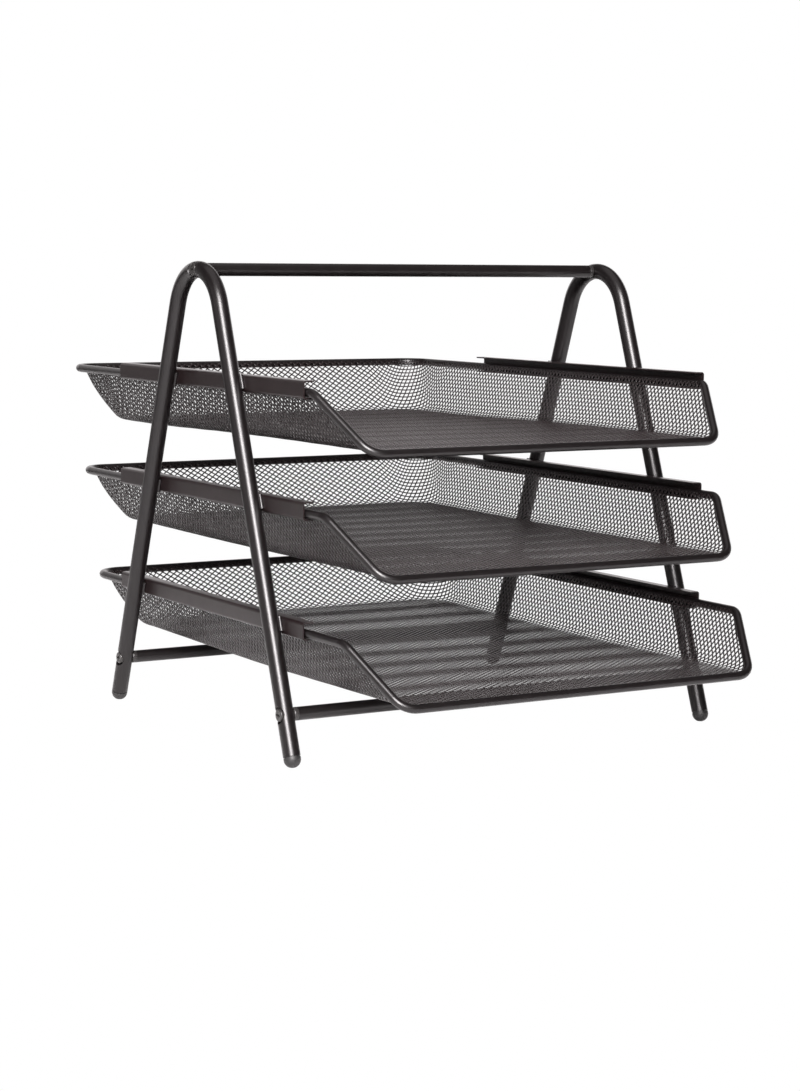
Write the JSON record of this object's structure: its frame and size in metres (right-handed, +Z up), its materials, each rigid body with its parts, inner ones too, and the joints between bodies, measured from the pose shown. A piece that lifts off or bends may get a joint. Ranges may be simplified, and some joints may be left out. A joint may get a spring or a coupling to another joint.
{
  "type": "letter tray",
  "caption": "Desk letter tray: bent-tube end frames with a carrying bar hold sliding mesh paper trays in channel rails.",
  "frame": {"origin": "on the floor, under the middle of the whole object's outline as it rests", "axes": "+Z up; X along the carrying bar; the trays' open fronts face -Y and they slide out that way"},
  "size_m": [0.2818, 0.3976, 0.2677],
  "materials": {
    "frame_coat": "semi-gloss charcoal powder coat",
    "bar_coat": "semi-gloss charcoal powder coat",
    "rail_coat": "semi-gloss charcoal powder coat on folded sheet",
    "rim_coat": "semi-gloss charcoal powder coat on solid rod",
    "mesh_coat": "satin charcoal powder coat on expanded mesh",
    "screw_black": "black-plated steel",
    "insert_steel": "black-plated turned steel",
    "foot_rubber": "matt black rubber"
  },
  "bodies": {
    "stand": {"end_frame_left": "frame_coat", "foot_cap_front_left": "foot_rubber", "foot_cap_rear_left": "foot_rubber", "rail_bottom_left": "rail_coat", "rail_middle_left": "rail_coat", "rail_top_left": "rail_coat", "end_frame_right": "frame_coat", "foot_cap_front_right": "foot_rubber", "foot_cap_rear_right": "foot_rubber", "rail_bottom_right": "rail_coat", "rail_middle_right": "rail_coat", "rail_top_right": "rail_coat", "carry_bar": "bar_coat", "lower_bar_front": "bar_coat", "lower_bar_rear": "bar_coat", "carry_bar_inserts": "insert_steel", "lower_bar_inserts": "insert_steel", "carry_bar_screws": "screw_black", "lower_bar_screws": "screw_black"},
    "tray_bottom": {"tray_rim_bottom": "rim_coat", "tray_mesh_bottom": "mesh_coat"},
    "tray_middle": {"tray_rim_middle": "rim_coat", "tray_mesh_middle": "mesh_coat"},
    "tray_top": {"tray_rim_top": "rim_coat", "tray_mesh_top": "mesh_coat"}
  },
  "joints": [
    {"name": "slide_bottom", "type": "slide", "parent": "stand", "child": "tray_bottom", "axis": [0, -1, 0], "range_m": [-0.035, 0.2]},
    {"name": "slide_middle", "type": "slide", "parent": "stand", "child": "tray_middle", "axis": [0, -1, 0], "range_m": [-0.014, 0.221]},
    {"name": "slide_top", "type": "slide", "parent": "stand", "child": "tray_top", "axis": [0, -1, 0], "range_m": [0, 0.235]}
  ]
}
